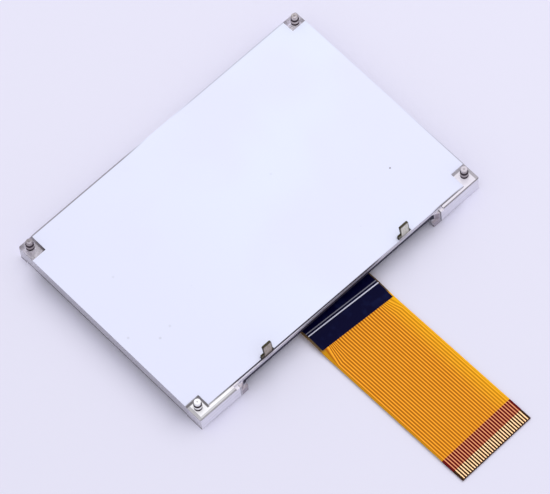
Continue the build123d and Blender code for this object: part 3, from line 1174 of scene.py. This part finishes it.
@dataclass
class Backlight:
    """The clear guide, its white film, the board with its diodes, and the two leads."""

    air_gap: float = 0.012
    edge_round: float = 0.06
    lead_round: float = 0.05
    lead_lean: Triple = (-0.06, 0.055, 0.0)
    film_top: float = 3.7
    # Painted light and shade: both leads are the same tinned sheet, given darker tones on the cathode lead
    # and lighter ones on the anode lead.
    cathode_tones: tuple[Colour, Colour] = ((0.50, 0.44, 0.40), (0.36, 0.32, 0.24))
    anode_tones: tuple[Colour, Colour] = ((0.80, 0.79, 0.72), (0.62, 0.61, 0.50))

    def build(self) -> None:
        """Make and dress every piece of the backlight."""
        self.guide()
        self.leads()
        dress(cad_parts["reflector_film"], ReflectorFilm().paint("white_film"))
        board = Stock.WHITE_BOARD.paint("white_board")
        housing = Stock.WHITE_HOUSING.paint("diode_housing")
        solder = Stock.SOLDER.paint("solder")
        dress(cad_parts["light_board"], board)
        for name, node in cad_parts.items():
            if name.startswith("side_diode"):
                dress(node, housing)
            elif name.endswith("_solder"):
                dress(node, solder)

    def guide(self) -> None:
        """The clear moulding, drawn in by the thin air gap that lies round it."""
        piece = merged_copy("light_guide", "clear_guide", self.air_gap)
        soften_edges(piece, self.edge_round)
        dress(piece, ClearAcrylic().paint("clear_acrylic"))
        piece.visible_shadow = False
        stand_in(piece, "light_guide")

    def leads(self) -> None:
        """The two leads, which lean a little above the film."""
        tones = {"cathode_lead": self.cathode_tones, "anode_lead": self.anode_tones}
        for node, (face, second) in tones.items():
            piece = merged_copy(node, f"{node}_blade")
            points = np.empty(len(piece.data.vertices) * 3, np.float32)
            piece.data.vertices.foreach_get("co", points)
            points = points.reshape(-1, 3)
            above = np.maximum(points[:, 2] - self.film_top * MM, 0)
            points += above[:, None] * np.array(self.lead_lean, np.float32)
            piece.data.vertices.foreach_set("co", points.ravel())
            soften_edges(piece, self.lead_round)
            right, _, top = points.max(axis=0) / MM
            metal = TinnedMetal(right=float(right), top=float(top), face=face, second=second)
            dress(piece, metal.paint(f"tinned_{node}"))
            stand_in(piece, node)


@dataclass
class DisplayCell:
    """The glass sandwich with its polarizers, seal, tape and driver chip."""

    air_gap: float = 0.006

    def build(self) -> None:
        """Dress every piece of the cell."""
        glass = CellGlass().paint("cell_glass")
        for node in ("front_glass", "rear_glass"):
            sheet = merged_copy(node, f"{node}_sheet", self.air_gap)
            dress(sheet, glass)
            stand_in(sheet, node)
        resin = Stock.SEAL_RESIN.paint("seal_resin")
        bond = Stock.BOND_FILM.paint("bond_film")
        polarizer = Stock.POLARIZER.paint("polarizer")
        finishes = {
            "front_polarizer": polarizer,
            "rear_polarizer": polarizer,
            "diffuser_film": Stock.DIFFUSER.paint("diffuser"),
            "cell_tape": Stock.WHITE_TAPE.paint("white_tape"),
            "cell_seal": resin,
            "fill_plug": resin,
            "liquid_crystal": Stock.LIQUID_CRYSTAL.paint("liquid_crystal"),
            "chip_bond": bond,
            "tail_bond": bond,
            "driver_chip": Stock.SILICON.paint("silicon"),
            "ledge_sealant": Stock.SEALANT.paint("sealant"),
        }
        for node, material in finishes.items():
            dress(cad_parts[node], material)


@dataclass
class FlexibleTail:
    """The flat tail: base film, traces, cover film, stiffener and the dark strip over its root."""

    pivot: Spot = (-0.46, -20.6)
    turn_deg: float = 1.05
    width: float = 15.5
    reach: float = 37.45
    underside: float = 0.695
    rise: float = 0.1
    crease_at: float = 2.4
    landing_at: float = 6.25
    rest: float = 0.22
    bend_span: float = 0.35
    copper_top: float = 0.085
    cover_top: float = 0.135
    cover_start: float = 0.15
    contact_length: float = 2.15
    stiffener_length: float = 4.75
    relief: float = 0.016
    lanes: int = 30
    pitch: float = 0.5
    root_pitch: float = 0.3
    bunch: int = 5
    fan_start: float = 5.25
    fan_length: float = 3.4
    steps_per_lane: int = 8
    strip_width: float = 14.9
    strip_reach: float = 5.54
    strip_slant_deg: float = 4.55
    strip_shift: float = 0.07
    strip_thickness: float = 0.05
    strip_gap: float = 0.004
    strip_crease: float = 3.34
    strip_second: float = 3.9
    crease_height: float = 0.05
    crease_width: float = 0.12
    fold_before: float = 0.4
    fold_past: float = 0.45
    inner_end: float = -2.0

    def build(self) -> None:
        """Make and dress every piece of the tail."""
        self.cover_film()
        self.root_strip()
        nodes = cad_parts
        dress(nodes["tail_base_film"], AmberFilm().paint("amber_film"))
        traces = PlatedCopper(pivot=self.pivot, turn_deg=self.turn_deg, pitch=self.pitch)
        dress(nodes["tail_conductors"], traces.paint("plated_copper"))
        dress(nodes["tail_stiffener"], Stock.STIFFENER.paint("stiffener"))

    def height(self, along: np.ndarray) -> np.ndarray:
        """The height of the tail's underside.

        The tail's route is straight between its bends. Each bend is rounded by taking the mean of the
        straight route over a short span either side of the point.

        Args:
            along: Distances from the edge of the ledge in millimetres.

        Returns:
            The heights in millimetres.
        """
        places = [self.inner_end, self.cover_start, self.crease_at, self.landing_at, self.reach]
        heights = [self.underside, self.underside, self.underside + self.rise, self.rest, self.rest]
        shifts = np.linspace(-self.bend_span, self.bend_span, 9)
        return np.mean([np.interp(along + shift, places, heights) for shift in shifts], axis=0)

    def lane_x(self, lane: np.ndarray, along: np.ndarray) -> np.ndarray:
        """Where a lane runs across the tail.

        The lanes are one pitch apart along the tail, and the outer ones stand closer at the root. Between
        the two they run straight: x = root + (straight - root) * share, with share from 0 to 1 over the fan.

        Args:
            lane: Lane numbers, with 0 for the first trace.
            along: Distances from the edge of the ledge in millimetres.

        Returns:
            The places across the tail in millimetres.
        """
        middle = (self.lanes - 1) / 2
        step = lane - middle
        inner = middle - self.bunch
        knots = [0.0, inner, middle, middle + 1]
        half = self.width / 2
        straight = np.interp(abs(step), knots, [0.0, inner * self.pitch, middle * self.pitch, half])
        root_x = inner * self.pitch + self.bunch * self.root_pitch
        root = np.interp(abs(step), knots, [0.0, inner * self.pitch, root_x, half])
        share = np.clip((along - self.fan_start) / self.fan_length, 0, 1)
        return np.sign(step) * (root + (straight - root) * share)

    def to_frame(self, across: np.ndarray, along: np.ndarray, z: np.ndarray) -> np.ndarray:
        """Turn the tail's own coordinates into the frame of the module.

        Args:
            across: Places across the tail in millimetres.
            along: Distances from the edge of the ledge in millimetres.
            z: Heights in millimetres.

        Returns:
            The points, with a last axis of three.
        """
        turn = math.radians(self.turn_deg)
        x = across * math.cos(turn) + along * math.sin(turn) + self.pivot[0]
        y = across * math.sin(turn) - along * math.cos(turn) + self.pivot[1]
        return np.stack([x, y, z], axis=-1)

    def cover_film(self) -> None:
        """The cover film, which rises a little over each trace: its top is a cosine across each lane."""
        end = self.reach - self.contact_length
        bends = np.linspace(self.cover_start, self.landing_at + self.bend_span, 24)
        fan = [self.fan_start, self.fan_start + self.fan_length]
        rows = np.unique(np.concatenate([bends, fan, np.linspace(self.landing_at + 1, end, 30)]))
        columns = np.linspace(-1, self.lanes, (self.lanes + 1) * self.steps_per_lane + 1)
        along, lane = np.meshgrid(rows, columns, indexing="ij")
        across = self.lane_x(lane, along)
        base = self.height(along)
        crest = 0.5 + 0.5 * np.cos(2 * np.pi * lane)
        crest *= (abs(lane - (self.lanes - 1) / 2) < self.lanes / 2)
        top = self.to_frame(across, along, base + self.cover_top - self.relief * (1 - crest))
        bottom = self.to_frame(across, along, base + self.copper_top)
        piece = closed_sheet("cover_film", top, bottom, np.stack([lane, along], axis=-1))
        finish = AmberCoverlay(lanes=self.lanes, dark_from=self.reach - self.stiffener_length)
        dress(piece, finish.paint("amber_coverlay"))
        stand_in(piece, "tail_coverlay")

    def root_strip(self) -> None:
        """The strip over the root, with a raised crease: a bell curve across the fold.

        Its rows stay a fixed distance from the slanted end as far as the crease, and share out the rest
        evenly.
        """
        half = self.strip_width / 2
        past_crease = self.strip_crease + self.fold_past
        fold_rows = np.linspace(-self.fold_before, self.fold_past, 18)
        side = np.linspace(-half, half, 40)[None, :]
        end = self.strip_reach + side * math.tan(math.radians(self.strip_slant_deg))
        end_rows = np.linspace(0, self.strip_crease - self.fold_before - 0.1, 18)
        near_end = np.concatenate([end_rows, self.strip_crease + fold_rows])
        rest = np.linspace(0, 1, 14)[1:, None] * (end - self.cover_start - past_crease)
        back = np.concatenate([np.repeat(near_end[:, None], side.size, axis=1), past_crease + rest])[::-1]
        along = end - back
        across = np.repeat(side, len(back), axis=0) + self.strip_shift
        fold = self.crease_height * np.exp(-(((back - self.strip_crease) / self.crease_width) ** 2))
        base = self.height(along) + self.cover_top
        top = self.to_frame(across, along, base + self.strip_thickness + fold)
        bottom = self.to_frame(across, along, base + self.strip_gap)
        piece = closed_sheet("root_cover_strip", top, bottom, np.stack([across, back], axis=-1))
        dress(piece, CreasedCover(self.strip_crease, self.strip_second).paint("root_cover"))
        stand_in(piece, "tail_root_strip")


# Studio


@dataclass
class Viewpoint:
    """The camera of the photograph, as fitted to the corners of the module."""

    azimuth_deg: float = -36.60
    elevation_deg: float = 63.21
    roll_deg: float = -7.34
    distance: float = 846.0
    focal_pixels: float = 5141.0
    picture_width: float = 550.0
    sensor_width: float = 36.0
    target: Triple = (-0.2, -6.2, 0.0)

    def build(self) -> None:
        """Place the camera and make it the scene's own."""
        azimuth, elevation, roll = (
            math.radians(angle) for angle in (self.azimuth_deg, self.elevation_deg, self.roll_deg)
        )
        back = Vector((
            math.sin(azimuth) * math.cos(elevation),
            -math.cos(azimuth) * math.cos(elevation),
            math.sin(elevation),
        ))
        level = Vector((0, 0, 1)).cross(back).normalized()
        upright = back.cross(level)
        right = level * math.cos(roll) + upright * math.sin(roll)
        up = upright * math.cos(roll) - level * math.sin(roll)
        lens = bpy.data.cameras.new("camera")
        lens.sensor_width = self.sensor_width
        lens.lens = self.focal_pixels * self.sensor_width / self.picture_width
        lens.clip_start = 0.05
        lens.clip_end = 20.0
        camera = bpy.data.objects.new("camera", lens)
        bpy.context.scene.collection.objects.link(camera)
        turned = Matrix((right, up, back)).transposed().to_4x4()
        place = (Vector(self.target) + back * self.distance) * MM
        camera.matrix_world = Matrix.Translation(place) @ turned
        bpy.context.scene.camera = camera


@dataclass
class Studio:
    """The floor, the lamp and the world."""

    floor_size: float = 4.0
    floor_drop: float = 0.01
    floor_colour: Colour = (0.755, 0.742, 0.885)
    floor_second: float = 0.985
    lamp_place: Triple = (0.5, 0.22, 0.75)
    lamp_size: float = 0.8
    lamp_power: float = 4.2
    world_strength: float = 0.76
    horizon: Colour = (0.85, 0.85, 0.88)
    horizon_top: float = 0.02
    white_from: float = 0.4

    def build(self) -> None:
        """Make the floor, the lamp and the world."""
        self.floor()
        self.lamp()
        self.world()
        bpy.context.scene.view_settings.view_transform = "Standard"

    def floor(self) -> None:
        """A wide pale floor, a hair under the display's face."""
        half = self.floor_size / 2
        corners = np.array([(-1, -1), (1, -1), (1, 1), (-1, 1)]) * half
        points = np.column_stack([corners, np.full(4, -self.floor_drop * MM)])
        mesh = bpy.data.meshes.new("floor")
        mesh.from_pydata(points.tolist(), [], [(0, 1, 2, 3)])
        piece = placed("floor", mesh)
        recipe = Recipe("floor_paper")
        second = tuple(part * self.floor_second for part in self.floor_colour)
        dress(piece, recipe.surface({
            "Base Color": recipe.mix(recipe.noise(0.02), self.floor_colour, second),
            "Roughness": 0.9,
            "Specular IOR Level": 0.1,
        }))

    def lamp(self) -> None:
        """One large soft lamp, behind the module and above it."""
        light = bpy.data.lights.new("softbox", "AREA")
        light.size = self.lamp_size
        light.energy = self.lamp_power
        lamp = bpy.data.objects.new("softbox", light)
        bpy.context.scene.collection.objects.link(lamp)
        lamp.location = self.lamp_place
        lamp.rotation_euler = (-Vector(self.lamp_place)).to_track_quat("-Z", "Y").to_euler()

    def world(self) -> None:
        """An even pale surround, darker toward the horizon, which the camera sees as the floor's colour."""
        sky = Recipe("surround", world=True)
        direction = sky.node("ShaderNodeTexCoord").outputs["Generated"]
        height = sky.node("ShaderNodeSeparateXYZ", inputs={0: direction}).outputs["Z"]
        stops = ((self.horizon_top, self.horizon), (self.white_from, (1.0, 1.0, 1.0)))
        shade = sky.node("ShaderNodeValToRGB", {"stops": stops}, {"Fac": height}).outputs["Color"]
        around = sky.node("ShaderNodeBackground", inputs={"Color": shade, "Strength": self.world_strength})
        seen = sky.node("ShaderNodeBackground", inputs={"Color": self.floor_colour})
        rays = sky.node("ShaderNodeLightPath").outputs
        straight = sky.highest(rays["Is Camera Ray"], rays["Is Glossy Ray"], rays["Is Transmission Ray"])
        inputs = {0: straight, 1: around.outputs[0], 2: seen.outputs[0]}
        bpy.context.scene.world = sky.finish(sky.node("ShaderNodeMixShader", inputs=inputs))


def main() -> None:
    """Build every sub-assembly in order."""
    logging.basicConfig(level=logging.INFO, format="%(message)s")
    Viewpoint().build()
    Studio().build()
    Backlight().build()
    DisplayCell().build()
    FlexibleTail().build()


if __name__ == "__main__":
    main()
